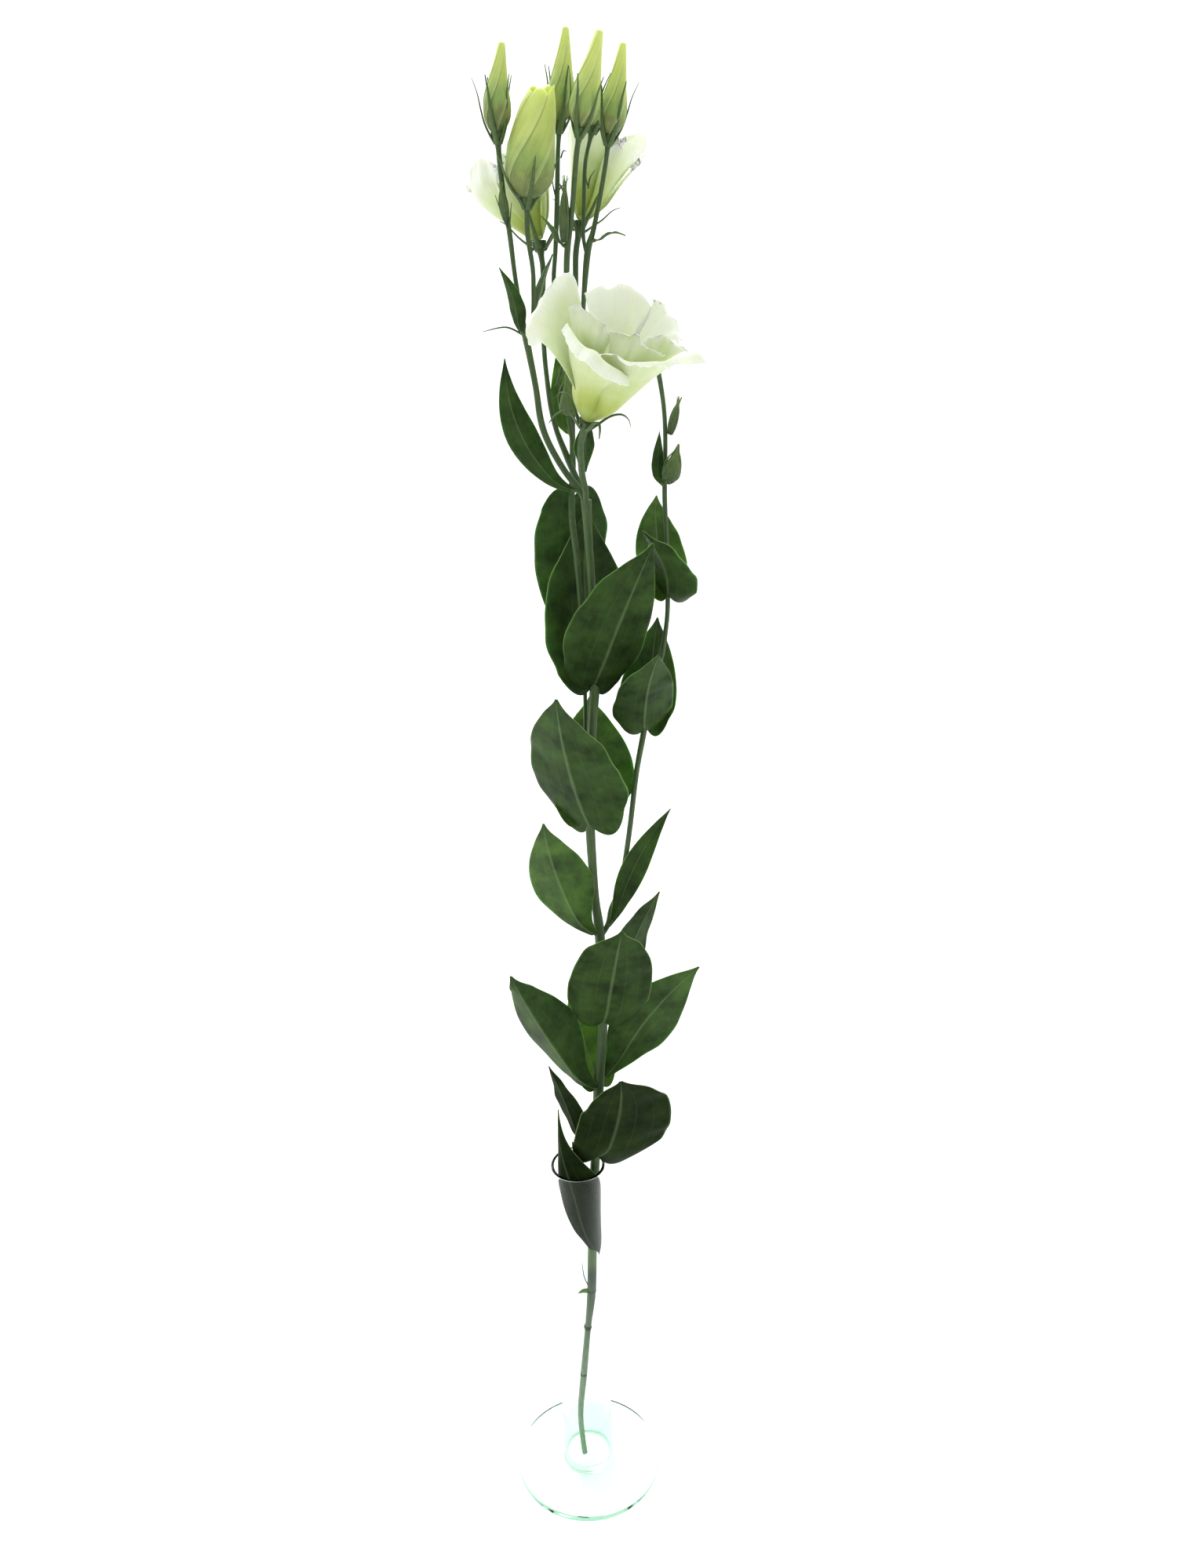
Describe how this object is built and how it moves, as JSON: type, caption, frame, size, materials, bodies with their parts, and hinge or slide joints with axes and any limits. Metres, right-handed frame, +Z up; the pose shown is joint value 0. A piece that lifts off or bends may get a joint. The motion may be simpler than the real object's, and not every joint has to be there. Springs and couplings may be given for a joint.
{
  "type": "lisianthus flower in a bud vase",
  "caption": "Cut lisianthus stem with white flowers, green buds and paired grey-green leaves, standing in a clear glass tube vase on a flat round foot.",
  "frame": {"origin": "middle of the underside of the vase's foot", "axes": "+Z up along the vase's tube, -Y towards the plant's front, +X to the plant's right as seen from its front"},
  "size_m": [0.0951, 0.1037, 0.6751],
  "materials": {
    "vase_glass": "clear blown glass, faint green in the thick foot",
    "stem": "smooth waxy green stem",
    "leaf": "matte grey-green leaf with a pale midrib",
    "bud": "satin yellow-green wrapped petals",
    "young_bud": "matte green closed bud",
    "petal": "soft white petal, pale green at its base",
    "pistil": "waxy yellow-green stigma"
  },
  "bodies": {
    "root": {"vase": "vase_glass", "main_stem": "stem", "right_stem": "stem", "back_stem": "stem", "left_stem": "stem", "centre_stem": "stem", "flower_1_stalk": "stem", "bud_2_stalk": "stem", "bud_3_stalk": "stem", "bud_4_stalk": "stem", "bud_5_stalk": "stem", "bud_6_stalk": "stem", "leaf_collar": "leaf", "leaf_rim_left": "leaf", "leaf_rim_front": "leaf", "leaf_low_left": "leaf", "leaf_low_right": "leaf", "leaf_low_back": "leaf", "leaf_mid_front": "leaf", "leaf_mid_back": "leaf", "leaf_mid_left": "leaf", "leaf_mid_right": "leaf", "leaf_upper_front": "leaf", "leaf_upper_back": "leaf", "leaf_top_front": "leaf", "leaf_top_back": "leaf", "leaf_branch_low_front": "leaf", "leaf_branch_low_back": "leaf", "leaf_branch_front": "leaf", "leaf_branch_back": "leaf", "leaf_node_back": "leaf", "leaf_node_left": "leaf", "leaf_node_front": "leaf", "leaf_fork_back": "leaf", "leaf_bud_left": "leaf", "leaf_bud_right": "leaf", "leaf_branch_top": "leaf", "bract_fork_left": "leaf", "bract_fork_right": "leaf", "bud_1": "bud", "bud_2": "bud", "bud_3": "bud", "bud_4": "bud", "bud_5": "bud", "bud_6": "bud", "small_bud_centre": "young_bud", "small_bud_fork": "young_bud", "small_bud_left": "young_bud", "small_bud_right": "young_bud", "small_bud_side": "young_bud", "small_bud_tip": "young_bud", "petal_right": "petal", "petal_right_back": "petal", "petal_back": "petal", "petal_left": "petal", "petal_front": "petal", "petal_inner": "petal", "flower_2_corolla": "petal", "flower_3_corolla": "petal", "pistil": "pistil"}
  },
  "joints": []
}
